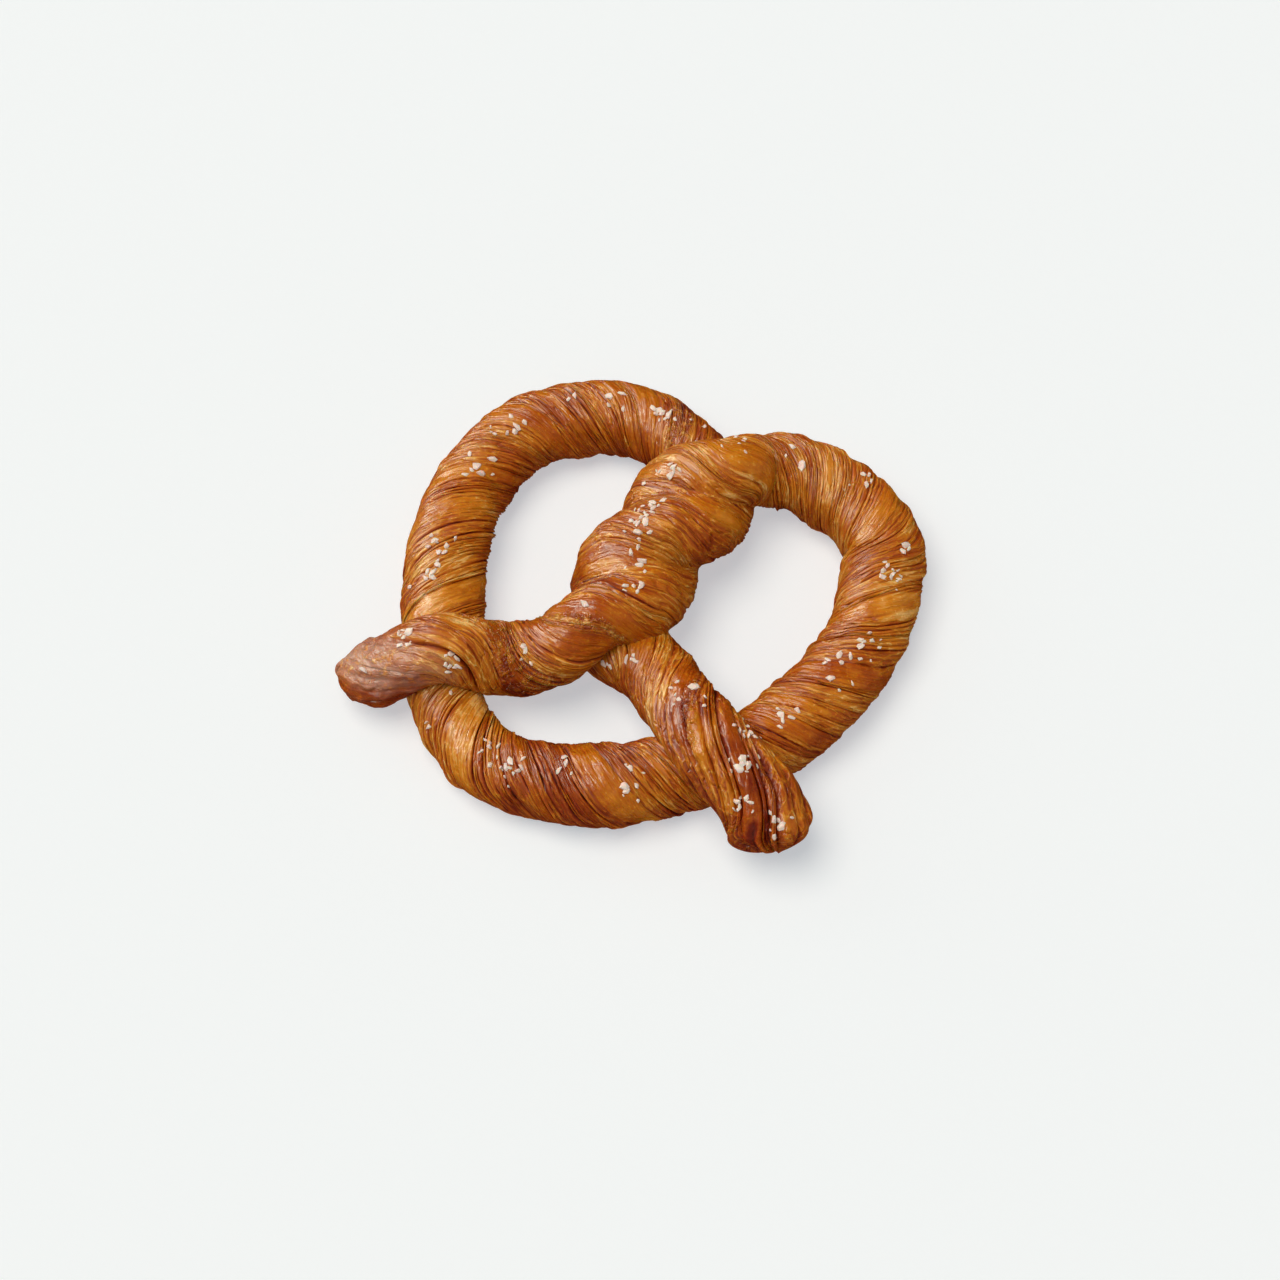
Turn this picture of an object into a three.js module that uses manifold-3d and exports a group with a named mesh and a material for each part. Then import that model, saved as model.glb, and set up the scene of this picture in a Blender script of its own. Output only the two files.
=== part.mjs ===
// Croissant pretzel: one rope of layered dough, twisted along its length, knotted into a pretzel, baked,
// and sprinkled with coarse salt while it was wet.
// Millimetres, +Z up. The origin is the middle of the underside and +Y points to the tops of the two loops.

import * as THREE from 'three';
import { mergeVertices } from 'three/addons/utils/BufferGeometryUtils.js';
import Module from 'manifold-3d';

// The rope's section: a little lower than it is wide, and pressed flat where it lies on the tray
const HEIGHT_SHARE = 0.92; // section height over section width
const LYING_SHARE = 0.83; // height of a lying strand's centreline over its half-width
const LEFT_TIP_ROUND = 10.5; // length over which the left tip closes
const RIGHT_TIP_ROUND = 8;

// The rope's route, from the left tip to the right one. Each row is x, y, lift of the centreline above a
// strand that lies on the tray, and width. The plan is drawn round the twist and then set on the origin.
const PLAN_MIDDLE = [-1.1, 3.9];
const LEFT_END = [
  [-77, -45.5, 2, 17],
  [-67, -42.5, 4.5, 19.5],
  [-49.5, -32.5, 16, 20.5],
  [-32, -26.5, 8, 21],
  [-19, -19.5, 11, 21],
];
const RIGHT_LOOP = [
  [15, 57.5, 7, 22],
  [26.5, 62.5, 2.5, 23],
  [43, 60.5, 0, 24],
  [58, 50, 0, 24],
  [61.5, 37, 0, 24.5],
  [63.5, 20.5, 0, 24],
  [59, 1.5, 0, 24],
  [51.5, -14, 0, 24],
];
const FRONT = [
  [40.5, -29, 0, 23.5],
  [27.5, -38.5, 0, 22.5],
  [8, -50.5, 0, 24.5],
  [-7.5, -54.5, 0, 22.5],
  [-21.5, -55.5, 0, 21.5],
  [-34, -51, 0, 21],
  [-43.5, -43, 0, 21.5],
];
const LEFT_LOOP = [
  [-50.5, -29, 0, 23.5],
  [-57, -12.5, 0, 24],
  [-62, 3, 0, 24.5],
  [-63.5, 24, 0, 23],
  [-57.5, 43, 0, 23],
  [-48.5, 53, 0, 22.5],
  [-29, 62.5, 0, 22.5],
  [-15, 61.5, 1, 22],
];
const RIGHT_END = [
  [5.5, -11, 4, 21.5],
  [17, -19, 7, 22],
  [36.5, -33, 15, 22],
  [54, -43, 7.5, 25],
  [61, -51.5, 2, 25],
];

// The twist in the middle: two strands wound one and a half times round each other, crossing three times
const CROSSINGS = [[5.5, 48.5], [-3, 24.5], [-8, -4.5]];
const TWIST_WIDTH = 22; // width of each strand where it swings out
const TWIST_PINCH = 2; // how much narrower it is at a crossing
const TWIST_HEIGHT = 17; // height of the axis
const TWIST_SPREAD = 7.5; // a strand's swing to the side of the axis
const TWIST_RISE = 7.2; // and above or below it
const TWIST_POINTS = 7; // route points for each strand
const TWIST_OVERRUN = 0.1; // how far the winding goes past the first and last crossing, in crossings

// The dough's own twist: layered ridges that wind round the rope, one column of the mesh to each flank
const RIDGE_PITCH = 43; // length of rope in one full turn of a ridge
const SIDES = 14;
const RIDGE_HEIGHT = 0.42; // of a ridge above the mean surface, and of a groove below it
const RIDGE_SPREAD = 0.3; // how much the ridges differ from each other
const TIP_FOLD = 0.9; // extra depth of the folds at the tips
const TIP_REACH = 55; // length over which the ridges straighten out to the tips
const TIP_TURN = 0.25; // share of the twist that is left at a tip
const RIDGE_SEED = 97;
const SWELL_HEIGHT = 0.35; // of the slow swells in the dough
const SWELL_LENGTHS = [46, 75];
const TIP_RINGS = 5; // rings in each rounded tip
const STRETCH_ENDS = [0, 0.35, 0.65, 1]; // where the stretches of rope meet, as shares of its rings

// Coarse salt: heaps of grains, each row x, y, number of grains and spread
const SALT_HEAPS = [
  [-43, 61, 2, 3], [-33, 63, 3, 5], [-17, 64, 6, 4], [-6, 60, 2, 4], [-59, 43, 4, 4], [-62, 28, 5, 4],
  [-63, -2, 6, 4], [-61, -10, 6, 4],
  [-7, 43, 4, 5], [-8, 28, 9, 4], [-8, 21, 6, 3.5], [-6, 14, 5, 4], [-3, 1, 3, 4], [-14, -8, 2, 2],
  [-4, -16, 2, 3],
  [10, 58, 3, 4], [25, 64, 2, 5], [46, 63, 3, 4], [66, 47, 2, 4], [65, 37, 8, 4], [67, 14, 4, 5],
  [60, 4, 6, 6], [50, -13, 4, 5],
  [-45, -53, 1, 1], [-28, -55, 5, 4], [-18, -58, 8, 4], [-4, -52, 3, 4], [17, -49, 4, 5],
  [-68, -46, 1, 1], [-58, -36, 7, 3], [-42, -37, 6, 4], [-25, -26, 4, 2.5],
  [4, -15, 3, 3], [24, -25, 4, 6], [44, -27, 7, 5], [45, -38, 8, 4], [50, -48, 4, 4], [59, -49, 7, 4],
];
const GRAIN_SMALLEST = 1.5; // longest edge of a grain
const GRAIN_LARGEST = 3.4;
const GRAIN_FEW_LARGE = 1.6; // power of the draw: above 1, most grains are small
const GRAIN_WIDTH = [0.6, 0.95]; // least and most, as a share of the longest edge
const GRAIN_HEIGHT = [0.5, 0.8];
const GRAIN_STEEPEST = 0.35; // least upward facing of crust that holds a grain
const GRAIN_SUNK = 0.3; // share of a grain that is below the mean surface of the crust
const GRAIN_ROOT = 1.2; // and how much deeper it is bedded, so that none bridges a groove
const GRAIN_CHIP = 0.2; // how far a grain's corners are broken, as a share of its edges
const GRAIN_GAP = 1.1; // least distance between two grains, as a share of their mean length
const GRAINS_SHOWN = 115; // the largest grains are part of the solid
const SALT_SEED = 4217;

const TRAY_REACH = 120; // half the side of the block that cuts the underside flat
const CRUST_COLOUR = '#b06a1f';

const wasm = await Module();
wasm.setup();

// A small seeded generator, so that every run draws the same grains
function seeded(seed) {
  let state = seed;
  return () => {
    state = (state * 16807) % 2147483647;
    return state / 2147483647;
  };
}

const smooth = (x) => {
  const f = THREE.MathUtils.clamp(x, 0, 1);
  return f * f * (3 - 2 * f);
};

function lying([x, y, lift, width]) {
  const z = (LYING_SHARE * width) / 2 + lift;
  return { at: new THREE.Vector3(x, y, z), width };
}

// One strand of the twist, from the first crossing to the last: side is 1 for the strand that is on top at
// the first and last crossing and -1 for the other
function twistStrand(side) {
  const [first, middle, last] = CROSSINGS.map(([x, y]) => new THREE.Vector3(x, y, TWIST_HEIGHT));
  const along = last.clone().sub(first).normalize();
  const across = new THREE.Vector3(-along.y, along.x, 0);
  const strand = [];
  for (let k = 0; k < TWIST_POINTS; k++) {
    const t = -TWIST_OVERRUN + ((2 + 2 * TWIST_OVERRUN) * k) / (TWIST_POINTS - 1);
    const at = new THREE.Vector3()
      .addScaledVector(first, ((t - 1) * (t - 2)) / 2)
      .addScaledVector(middle, -t * (t - 2))
      .addScaledVector(last, (t * (t - 1)) / 2)
      .addScaledVector(across, -side * TWIST_SPREAD * Math.sin(Math.PI * t));
    at.z += side * TWIST_RISE * Math.cos(Math.PI * t);
    strand.push({ at, width: TWIST_WIDTH - TWIST_PINCH * Math.cos(Math.PI * t) ** 2 });
  }
  return strand;
}

const route = [
  ...LEFT_END.map(lying),
  ...twistStrand(1).reverse(),
  ...RIGHT_LOOP.map(lying),
  ...FRONT.map(lying),
  ...LEFT_LOOP.map(lying),
  ...twistStrand(-1),
  ...RIGHT_END.map(lying),
];
for (const point of route) {
  point.at.x -= PLAN_MIDDLE[0];
  point.at.y -= PLAN_MIDDLE[1];
}

const centreline = new THREE.CatmullRomCurve3(route.map((point) => point.at), false, 'centripetal');
centreline.arcLengthDivisions = 4000;
const ropeLength = centreline.getLength();

function widthAt(t) {
  const place = t * (route.length - 1);
  const k = Math.min(Math.floor(place), route.length - 2);
  return THREE.MathUtils.lerp(route[k].width, route[k + 1].width, smooth(place - k));
}

// How far a ridge has wound round the rope by a station: slower over the last stretch to each tip
function turnAt(s) {
  const slowed = (reach) => {
    const left = Math.max(0, TIP_REACH - reach);
    return ((1 - TIP_TURN) * left * left) / (2 * TIP_REACH);
  };
  return (2 * Math.PI * (s + slowed(s) - slowed(ropeLength - s))) / RIDGE_PITCH;
}

const closing = (reach, round) => (reach < round ? Math.sqrt(1 - (1 - reach / round) ** 2) : 1);

// Stations along the rope: rings close together round each tip, then one ridge flank to a step
function ringStations() {
  const tip = (round) => Array.from({ length: TIP_RINGS }, (_, k) =>
    round * (1 - Math.cos(((k + 0.5) / (TIP_RINGS + 0.5)) * (Math.PI / 2))));
  const left = tip(LEFT_TIP_ROUND);
  const right = tip(RIGHT_TIP_ROUND).map((reach) => ropeLength - reach).reverse();
  const start = LEFT_TIP_ROUND;
  const end = ropeLength - RIGHT_TIP_ROUND;
  const steps = Math.round((end - start) / (RIDGE_PITCH / SIDES));
  const middle = Array.from({ length: steps + 1 }, (_, k) => start + ((end - start) * k) / steps);
  return [...left, ...middle, ...right];
}

function section(s) {
  const t = centreline.getUtoTmapping(s / ropeLength);
  const tangent = centreline.getTangent(t);
  const left = new THREE.Vector3(0, 0, 1).cross(tangent).normalize();
  const half = (widthAt(t) / 2) * closing(s, LEFT_TIP_ROUND) * closing(ropeLength - s, RIGHT_TIP_ROUND);
  return { s, at: centreline.getPoint(t), left, up: tangent.cross(left), half };
}

const sections = ringStations().map(section);

const ridgeDraw = seeded(RIDGE_SEED);
const ridges = Array.from({ length: SIDES }, (_, column) =>
  (column % 2 ? 1 : -1) * RIDGE_HEIGHT + RIDGE_SPREAD * (2 * ridgeDraw() - 1));

// Height of the dough's ridges and swells above the plain section
function relief(s, column, angle) {
  const fold = 1 + TIP_FOLD * (1 - smooth(Math.min(s, ropeLength - s) / TIP_REACH));
  const [short, long] = SWELL_LENGTHS.map((length) => (2 * Math.PI * s) / length);
  const swell = Math.sin(short + Math.cos(angle)) + Math.sin(long + 2 * Math.sin(angle));
  return ridges[column] * fold + (SWELL_HEIGHT * swell) / 2;
}

function surfacePoint(ring, side, share) {
  const { s, at, left, up, half } = sections[ring];
  const column = (ring + side) % SIDES;
  const angle = (2 * Math.PI * (ring + side)) / SIDES - turnAt(s);
  const closed = half / (half + 1);
  const reach = half + relief(s, column, angle) * closed;
  return at.clone()
    .addScaledVector(left, share * reach * Math.sin(angle))
    .addScaledVector(up, share * HEIGHT_SHARE * reach * Math.cos(angle));
}

function solid(geometry) {
  geometry.deleteAttribute('normal');
  geometry.deleteAttribute('uv');
  const merged = mergeVertices(geometry, 1e-5);
  return new wasm.Manifold(new wasm.Mesh({
    numProp: 3,
    vertProperties: new Float32Array(merged.attributes.position.array),
    triVerts: new Uint32Array(merged.index.array),
  }));
}

// A stretch of rope: a closed cylinder of unit radius, one unit to a ring, with its points carried to the rope
function stretch(firstRing, lastRing) {
  const rings = lastRing - firstRing;
  const geometry = new THREE.CylinderGeometry(1, 1, rings, SIDES, rings);
  const points = geometry.attributes.position;
  for (let k = 0; k < points.count; k++) {
    const x = points.getX(k);
    const z = points.getZ(k);
    const ring = firstRing + Math.round(rings / 2 - points.getY(k));
    const side = (Math.round((Math.atan2(x, z) * SIDES) / (2 * Math.PI)) + SIDES) % SIDES;
    const place = surfacePoint(ring, side, Math.round(Math.hypot(x, z)));
    points.setXYZ(k, place.x, place.y, place.z);
  }
  return solid(geometry);
}

// Top of the rope over a place in plan, with the way the crust faces there
function crustAt(x, y) {
  let top = null;
  for (const { at, half } of sections) {
    const low = Math.hypot(x - at.x, y - at.y) / half;
    if (low >= 1) continue;
    const z = at.z + HEIGHT_SHARE * half * Math.sqrt(1 - low * low);
    if (top && z <= top.at.z) continue;
    const facing = new THREE.Vector3(x - at.x, y - at.y, (z - at.z) / HEIGHT_SHARE ** 2).normalize();
    top = { at: new THREE.Vector3(x, y, z), facing };
  }
  return top;
}

// Every grain of salt, heap by heap
function saltGrains() {
  const draw = seeded(SALT_SEED);
  const around = () => draw() + draw() - 1;
  const grains = [];
  for (const [heapX, heapY, count, spread] of SALT_HEAPS) {
    for (let k = 0; k < count; k++) {
      const x = heapX - PLAN_MIDDLE[0] + spread * around();
      const y = heapY - PLAN_MIDDLE[1] + spread * around();
      const length = THREE.MathUtils.lerp(GRAIN_SMALLEST, GRAIN_LARGEST, draw() ** GRAIN_FEW_LARGE);
      const width = THREE.MathUtils.lerp(...GRAIN_WIDTH, draw());
      const height = THREE.MathUtils.lerp(...GRAIN_HEIGHT, draw());
      const edges = new THREE.Vector3(1, width, height).multiplyScalar(length);
      const turn = 2 * Math.PI * draw();
      const chips = Array.from({ length: 24 }, () => GRAIN_CHIP * (draw() - 0.5));
      const crust = crustAt(x, y);
      if (!crust || crust.facing.z < GRAIN_STEEPEST) continue;
      const clear = (other) => other.crust.at.distanceTo(crust.at) > (GRAIN_GAP * (other.length + length)) / 2;
      if (grains.every(clear)) grains.push({ crust, length, edges, turn, chips });
    }
  }
  return grains;
}

function grainSolid({ crust, edges, turn, chips }) {
  const geometry = new THREE.BoxGeometry(1, 1, 1);
  const corners = geometry.attributes.position;
  const lean = new THREE.Quaternion().setFromUnitVectors(new THREE.Vector3(0, 0, 1), crust.facing);
  const spin = new THREE.Quaternion().setFromAxisAngle(new THREE.Vector3(0, 0, 1), turn);
  const corner = new THREE.Vector3();
  for (let k = 0; k < corners.count; k++) {
    corner.fromBufferAttribute(corners, k);
    const which = (corner.x > 0 ? 1 : 0) + (corner.y > 0 ? 2 : 0) + (corner.z > 0 ? 4 : 0);
    corner.x += chips[3 * which];
    corner.y += chips[3 * which + 1];
    corner.z += chips[3 * which + 2] + 0.5 - GRAIN_SUNK;
    corner.multiply(edges);
    if (which < 4) corner.z -= GRAIN_ROOT;
    corner.applyQuaternion(spin).applyQuaternion(lean).add(crust.at);
    corners.setXYZ(k, corner.x, corner.y, corner.z);
  }
  return solid(geometry);
}

// The rope crosses itself, so it is joined from three stretches that don't: they meet at the outer side of
// each loop
function rope() {
  const joints = STRETCH_ENDS.map((share) => Math.round(share * (sections.length - 1)));
  const [leftEnd, front, rightEnd] = [0, 1, 2].map((k) => stretch(joints[k], joints[k + 1]));
  return leftEnd.add(front).add(rightEnd);
}

function tray() {
  const side = 2 * TRAY_REACH;
  return solid(new THREE.BoxGeometry(side, side, side).translate(0, 0, -TRAY_REACH));
}

function pretzel() {
  const largest = saltGrains().sort((a, b) => b.length - a.length).slice(0, GRAINS_SHOWN);
  const salted = largest.reduce((body, grain) => body.add(grainSolid(grain)), rope().subtract(tray()));
  // Pockets sealed between the strands are left out, so the rope is solid dough
  const whole = salted.decompose().reduce((a, b) => (b.volume() > a.volume() ? b : a));
  const { vertProperties, triVerts } = whole.getMesh();
  const geometry = new THREE.BufferGeometry();
  geometry.setAttribute('position', new THREE.BufferAttribute(vertProperties, 3));
  geometry.setIndex(new THREE.BufferAttribute(triVerts, 1));
  geometry.computeVertexNormals();
  const crust = new THREE.MeshStandardMaterial({ color: CRUST_COLOUR, roughness: 0.5, metalness: 0 });
  const mesh = new THREE.Mesh(geometry, crust);
  mesh.name = 'pretzel';
  return mesh;
}

const part = new THREE.Group();
part.add(pretzel());

export default part;
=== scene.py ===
# %% [markdown]
# A croissant pretzel is one rope of layered dough. It was twisted along its length, knotted into a pretzel,
# glazed, sprinkled with coarse salt and baked. This lesson builds it the same way round: first the route of
# the rope, then the twist and the relief of its layers, then the salt, and last the finish of the crust.

# %% Load the frame
import math

import bmesh
import bpy
import numpy as np
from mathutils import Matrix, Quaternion, Vector, noise
from mathutils.bvhtree import BVHTree


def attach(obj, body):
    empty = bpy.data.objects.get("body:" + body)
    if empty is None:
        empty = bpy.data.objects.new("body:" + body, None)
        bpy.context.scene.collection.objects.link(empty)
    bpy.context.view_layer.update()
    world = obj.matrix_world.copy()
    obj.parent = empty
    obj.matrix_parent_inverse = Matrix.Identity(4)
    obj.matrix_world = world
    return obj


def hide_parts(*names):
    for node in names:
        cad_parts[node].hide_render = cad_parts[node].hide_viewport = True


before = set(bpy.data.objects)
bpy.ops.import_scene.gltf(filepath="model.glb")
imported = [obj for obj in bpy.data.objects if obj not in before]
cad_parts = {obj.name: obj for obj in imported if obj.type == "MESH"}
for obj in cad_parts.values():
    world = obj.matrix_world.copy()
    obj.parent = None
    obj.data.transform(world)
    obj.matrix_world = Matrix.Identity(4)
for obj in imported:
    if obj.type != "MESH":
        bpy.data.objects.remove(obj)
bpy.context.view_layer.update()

scene = bpy.context.scene
MM = 0.001  # the sizes below are in millimetres, and Blender's in metres


# %% [markdown]
# The pretzel is seen from high above its front, turned a little to the right. A camera can be placed by
# hand or track an Empty. Here it is worked out from two angles, a distance and the width of table in the
# picture, four numbers that can be read off a photograph.

# %% Camera
VIEW_TURN = math.radians(21)  # to the right of the front
VIEW_HEIGHT = math.radians(67)  # above the table
VIEW_DISTANCE = 1.0
VIEW_WIDTH = 0.38  # of table across the picture
VIEW_AIM = Vector((1.1, -3.9, 0)) * MM
SENSOR_WIDTH = 36

view_back = Vector((
    math.sin(VIEW_TURN) * math.cos(VIEW_HEIGHT),
    -math.cos(VIEW_TURN) * math.cos(VIEW_HEIGHT),
    math.sin(VIEW_HEIGHT),
))
camera = bpy.data.objects.new("camera", bpy.data.cameras.new("camera"))
camera.data.sensor_width = SENSOR_WIDTH
camera.data.lens = SENSOR_WIDTH * VIEW_DISTANCE / VIEW_WIDTH
camera.location = VIEW_AIM + view_back * VIEW_DISTANCE
camera.rotation_mode = "QUATERNION"
camera.rotation_quaternion = (-view_back).to_track_quat("-Z", "Y")
scene.collection.objects.link(camera)
scene.camera = camera
print("lens", round(camera.data.lens, 1), "mm")

# %% [markdown]
# The pretzel lies on a pale sheet that fills the picture. A curved backdrop isn't needed from so high up,
# so one large square is enough. The crust doesn't mirror it, because that would make its flanks look grey.

# %% Table
TABLE_SIZE = 8.0
TABLE_DROP = 0.05 * MM  # below the pretzel

half_table = TABLE_SIZE / 2
table_signs = ((-1, -1), (1, -1), (1, 1), (-1, 1))
table_corners = [(x * half_table, y * half_table, -TABLE_DROP) for x, y in table_signs]
table_mesh = bpy.data.meshes.new("table")
table_mesh.from_pydata(table_corners, [], [(0, 1, 2, 3)])
table = bpy.data.objects.new("table", table_mesh)
scene.collection.objects.link(table)
table.visible_glossy = False
print("table", TABLE_SIZE, "m square")

# %% [markdown]
# A studio lights food with large soft lights, and shades each of them from what it shouldn't reach. Area
# lights close by would light the table unevenly, so these are Suns with a wide angle, whose shadows are
# just as soft. Instead of being shaded, each is told what it does: some light only the crust's colour, some
# show only as highlights, and some leave the table alone, where they would throw a second shadow. The sky
# is dim and isn't mirrored.

# %% Lights
SUNS = {  # degrees of turn from the back, height and angle across, and strength
    "side_light": (-96, 73, 42, 1.74),
    "top_light": (-60, 85, 110, 0.7),
    "raking_light": (-72, 34, 34, 0.85),
    "glint_light": (-82, 24, 36, 4.8),
    "sheen_light": (-124, 54, 26, 3.5),
    "back_light": (-50, 42, 20, 0.9),
    "fill_light": (69, 22, 60, 0.16),
    "front_light": (160, 36, 70, 0.15),
}
WITHOUT_HIGHLIGHTS = ("side_light", "top_light", "raking_light")
ONLY_HIGHLIGHTS = ("glint_light", "sheen_light", "back_light")
OFF_THE_TABLE = ("top_light", "raking_light", "fill_light", "front_light")
GLINT_COLOUR = (0.86, 1, 0.88)
SKY_STRENGTH, SKY_COLOUR = 0.2, (0.85, 0.94, 1.0, 1)

scene.view_settings.view_transform = "Standard"
for name, (turn, height, angle, strength) in SUNS.items():
    sun = bpy.data.objects.new(name, bpy.data.lights.new(name, "SUN"))
    sun.data.angle = math.radians(angle)
    sun.data.energy = strength
    turn, height = math.radians(turn), math.radians(height)
    level = math.cos(height)
    sun_from = Vector((math.sin(turn) * level, math.cos(turn) * level, math.sin(height)))
    sun.rotation_mode = "QUATERNION"
    sun.rotation_quaternion = (-sun_from).to_track_quat("-Z", "Y")
    scene.collection.objects.link(sun)
for name in WITHOUT_HIGHLIGHTS:
    bpy.data.objects[name].visible_glossy = False
for name in ONLY_HIGHLIGHTS:
    bpy.data.objects[name].visible_diffuse = False
    bpy.data.objects[name].data.color = GLINT_COLOUR
dressed = bpy.data.collections.new("dressed")  # the crust and the salt, once they are made
for name in OFF_THE_TABLE:
    bpy.data.objects[name].light_linking.receiver_collection = dressed

sky = bpy.data.worlds.new("sky")
sky.use_nodes = True
sky_light = sky.node_tree.nodes["Background"].inputs
sky_light["Color"].default_value = SKY_COLOUR
sky_light["Strength"].default_value = SKY_STRENGTH
sky.cycles_visibility.glossy = False
scene.world = sky
print("lights:", list(SUNS))

# %% [markdown]
# The rope lies along one winding route. A Bezier curve with a bevel would give a tube in one step, but a
# bevel can't vary across the strand or carry relief. So the route is kept as plain points, each with its
# lift above a strand that lies on the table and its width, and a smooth curve is drawn through them by
# formula. The middle of the knot needs no points: the two strands there are a double helix.

# %% Route
PLAN_MIDDLE = np.array([-1.1, 3.9])  # of the points below, which moves to the origin
HEIGHT_SHARE = 0.92  # section height over section width
LYING_SHARE = 0.83  # height of a lying strand's centreline over its half-width
LEFT_END = [  # x, y, lift and width, as in the other lists
    (-77, -45.5, 2, 17), (-67, -42.5, 4.5, 19.5), (-49.5, -32.5, 16, 20.5), (-32, -26.5, 8, 21),
    (-19, -19.5, 11, 21),
]
RIGHT_LOOP = [
    (15, 57.5, 7, 22), (26.5, 62.5, 2.5, 23), (43, 60.5, 0, 24), (58, 50, 0, 24), (61.5, 37, 0, 24.5),
    (63.5, 20.5, 0, 24), (59, 1.5, 0, 24), (51.5, -14, 0, 24),
]
FRONT = [
    (40.5, -29, 0, 23.5), (27.5, -38.5, 0, 22.5), (8, -50.5, 0, 24.5), (-7.5, -54.5, 0, 22.5),
    (-21.5, -55.5, 0, 21.5), (-34, -51, 0, 21), (-43.5, -43, 0, 21.5),
]
LEFT_LOOP = [
    (-50.5, -29, 0, 23.5), (-57, -12.5, 0, 24), (-62, 3, 0, 24.5), (-63.5, 24, 0, 23), (-57.5, 43, 0, 23),
    (-48.5, 53, 0, 22.5), (-29, 62.5, 0, 22.5), (-15, 61.5, 1, 22),
]
RIGHT_END = [
    (5.5, -11, 4, 21.5), (17, -19, 7, 22), (36.5, -33, 15, 22), (54, -43, 7.5, 25), (61, -51.5, 2, 25),
]
CROSSINGS = np.array([(5.5, 48.5), (-3, 24.5), (-8, -4.5)])
TWIST_WIDTH, TWIST_PINCH = 22, 2
TWIST_HEIGHT, TWIST_SPREAD, TWIST_RISE = 17, 7.5, 7.2
TWIST_POINTS, TWIST_OVERRUN = 7, 0.1


def lying(rows):
    """Route points x, y, z and width of strands that lie on the table or on another strand."""
    return [(x, y, LYING_SHARE * width / 2 + lift, width) for x, y, lift, width in rows]


def twist_strand(side):
    """One strand of the double helix: side is 1 for the strand on top at the first and last crossing."""
    along = CROSSINGS[2] - CROSSINGS[0]
    across = np.array([-along[1], along[0]]) / np.linalg.norm(along)
    points = []
    for t in np.linspace(-TWIST_OVERRUN, 2 + TWIST_OVERRUN, TWIST_POINTS):
        shares = np.array([(t - 1) * (t - 2) / 2, -t * (t - 2), t * (t - 1) / 2])
        x, y = shares @ CROSSINGS - side * TWIST_SPREAD * math.sin(math.pi * t) * across
        z = TWIST_HEIGHT + side * TWIST_RISE * math.cos(math.pi * t)
        points.append((x, y, z, TWIST_WIDTH - TWIST_PINCH * math.cos(math.pi * t) ** 2))
    return points


route = np.array(
    lying(LEFT_END) + twist_strand(1)[::-1] + lying(RIGHT_LOOP) + lying(FRONT) + lying(LEFT_LOOP)
    + twist_strand(-1) + lying(RIGHT_END)
)
route[:, :2] -= PLAN_MIDDLE
print(len(route), "route points")

# %% [markdown]
# A centripetal Catmull-Rom curve passes through every point and never loops back between two that are
# close. It is sampled finely once, and everything after this asks for a place by its distance along the
# rope.

# %% Curve through the route
FINE = 40  # samples between two route points


def smooth(x):
    """A soft step from 0 to 1."""
    f = np.clip(x, 0, 1)
    return f * f * (3 - 2 * f)


def curve_through(points):
    """Fine samples of a centripetal Catmull-Rom curve through points, ends included."""
    ahead = np.vstack([2 * points[0] - points[1], points, 2 * points[-1] - points[-2]])
    u = np.linspace(0, 1, FINE, endpoint=False)[:, None]
    spans = []
    for p0, p1, p2, p3 in zip(ahead, ahead[1:], ahead[2:], ahead[3:]):
        t0, t1, t2 = (np.sqrt(np.linalg.norm(b - a)) for a, b in ((p0, p1), (p1, p2), (p2, p3)))
        start = ((p1 - p0) / t0 - (p2 - p0) / (t0 + t1) + (p2 - p1) / t1) * t1
        end = ((p2 - p1) / t1 - (p3 - p1) / (t1 + t2) + (p3 - p2) / t2) * t1
        square = 3 * (p2 - p1) - 2 * start - end
        cube = 2 * (p1 - p2) + start + end
        spans.append(p1 + u * start + u**2 * square + u**3 * cube)
    return np.vstack([*spans, points[-1]])


fine_points = curve_through(route[:, :3])
fine_length = np.concatenate([[0], np.cumsum(np.linalg.norm(np.diff(fine_points, axis=0), axis=1))])
rope_length = fine_length[-1]
place = np.arange(len(fine_points)) / FINE
nearest = np.minimum(place.astype(int), len(route) - 2)
fine_width = route[nearest, 3] + (route[nearest + 1, 3] - route[nearest, 3]) * smooth(place - nearest)
print("rope", round(rope_length), "mm long")

# %% [markdown]
# The rope's skin is a grid: rings across it, one every millimetre or so, and columns along it. Each ring
# has a level side direction and an upward one, so that the section never rolls by itself: all the rolling
# is the dough's own twist, which comes next. The two tips close like the end of an egg.

# %% Rings
LEFT_TIP_ROUND, RIGHT_TIP_ROUND = 10.5, 6.5
TIP_RINGS = 14
RING_STEP = 0.82


def ring_stations():
    """Distance along the rope of every ring: close together round the tips, then evenly spaced."""
    bends = (np.arange(TIP_RINGS) + 0.5) / (TIP_RINGS + 0.5) * math.pi / 2
    left = LEFT_TIP_ROUND * (1 - np.cos(bends))
    right = rope_length - RIGHT_TIP_ROUND * (1 - np.cos(bends[::-1]))
    start, end = LEFT_TIP_ROUND, rope_length - RIGHT_TIP_ROUND
    return np.concatenate([left, np.linspace(start, end, round((end - start) / RING_STEP) + 1), right])


def closing(reach, tip_round):
    """The share of its full width that the rope has at this distance from a tip."""
    return np.sqrt(1 - np.clip(1 - reach / tip_round, 0, 1) ** 2)


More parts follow.
